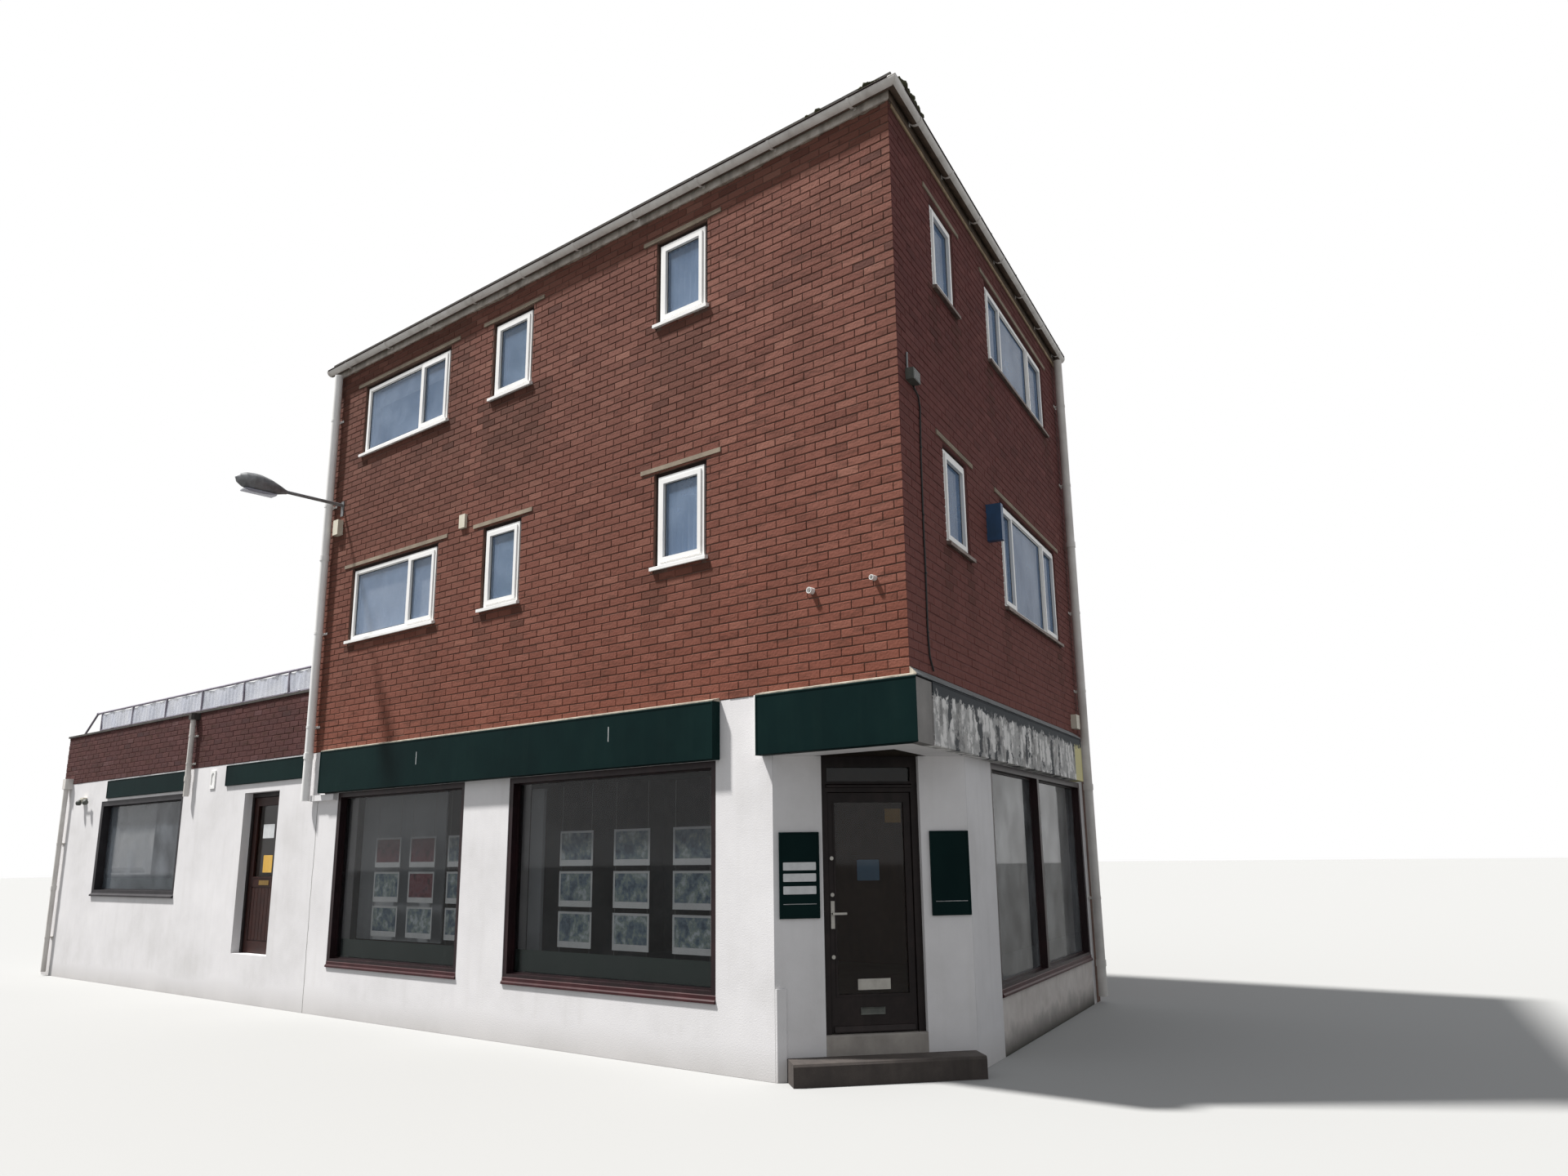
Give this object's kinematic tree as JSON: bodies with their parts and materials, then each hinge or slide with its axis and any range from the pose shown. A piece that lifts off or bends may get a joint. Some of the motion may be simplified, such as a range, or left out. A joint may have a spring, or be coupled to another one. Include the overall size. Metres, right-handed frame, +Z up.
{
  "type": "corner shop building",
  "caption": "Flat-roofed brick block over a corner shop, with a splayed entrance under the overhanging corner and a low extension with a railed parapet.",
  "frame": {"origin": "on the underside of the shop floor, 8.6 m left of the brick corner and 3 m behind the left street face", "axes": "+X along the left street face towards the corner, +Y into the building, +Z up"},
  "size_m": [17.5642, 7.6489, 8.36],
  "materials": {
    "concrete": "cast and trowelled",
    "deck": "boarded, unseen under the felt",
    "felt": "mineral felt, weathered",
    "render": "painted cement render with rain stains",
    "brick": "fired clay bricks with sand joints",
    "lintel": "cast concrete, grey",
    "white_frame": "white plastic window frames",
    "glass": "clear float glass",
    "shop_frame": "dark maroon paint",
    "door": "dark brown paint, worn at the edges",
    "side_door": "red-brown paint",
    "step": "worn stone",
    "fittings": "brushed",
    "sign": "dark green enamel, plain",
    "pvc": "white plastic, dusty",
    "fascia": "white paint, stained",
    "dark_frame": "dark grey coating",
    "coping": "dark coping stones",
    "rail": "dull grey paint",
    "mesh": "thin pale sheet",
    "lamp": "cast, dull",
    "box": "cream and white plastic",
    "weathered": "grey paint, dull and chalky"
  },
  "bodies": {
    "building": {"shop_floor": "concrete", "upper_floors": "concrete", "roof_deck": "deck", "roof_felt": "felt", "shop_piers": "render", "entrance_piers": "render", "stall_risers": "render", "left_beam": "render", "right_beam": "render", "corner_soffit": "render", "left_wall": "brick", "right_wall": "brick", "west_wall": "brick", "party_wall": "brick", "lintels": "lintel", "sills": "white_frame", "upper_frames": "white_frame", "frame_strips": "dark_frame", "upper_glass": "glass", "shop_frames": "shop_frame", "ground_glass": "glass", "door_frame": "door", "entrance_step": "step", "side_frame": "door", "ext_floor": "concrete", "ext_roof": "felt", "ext_piers": "render", "ext_risers": "render", "ext_beam": "render", "ext_parapet": "brick", "ext_rear_wall": "render", "ext_end_wall": "render", "ext_frames": "dark_frame", "coping": "coping", "signs": "sign", "sign_return": "weathered", "sign_cappings": "lintel", "entrance_plates": "sign", "fascia_boards": "fascia", "gutters": "pvc", "downpipes": "pvc", "railing": "rail", "railing_panels": "mesh", "wall_lamp": "lamp", "wall_fittings": "box"},
    "corner_door": {"door_leaf": "door", "door_glass": "glass", "door_furniture": "fittings"},
    "side_door": {"side_leaf": "side_door", "side_glass": "glass", "side_furniture": "fittings"}
  },
  "joints": [
    {"name": "corner_door_hinge", "type": "hinge", "parent": "building", "child": "corner_door", "pos_m": [7.86863, -1.99232, 1.3], "axis": [0, 0, -1], "range_deg": [0, 88]},
    {"name": "side_door_hinge", "type": "hinge", "parent": "building", "child": "side_door", "pos_m": [-2.087, -2.817, 1.6], "axis": [0, 0, 1], "range_deg": [0, 88]}
  ]
}
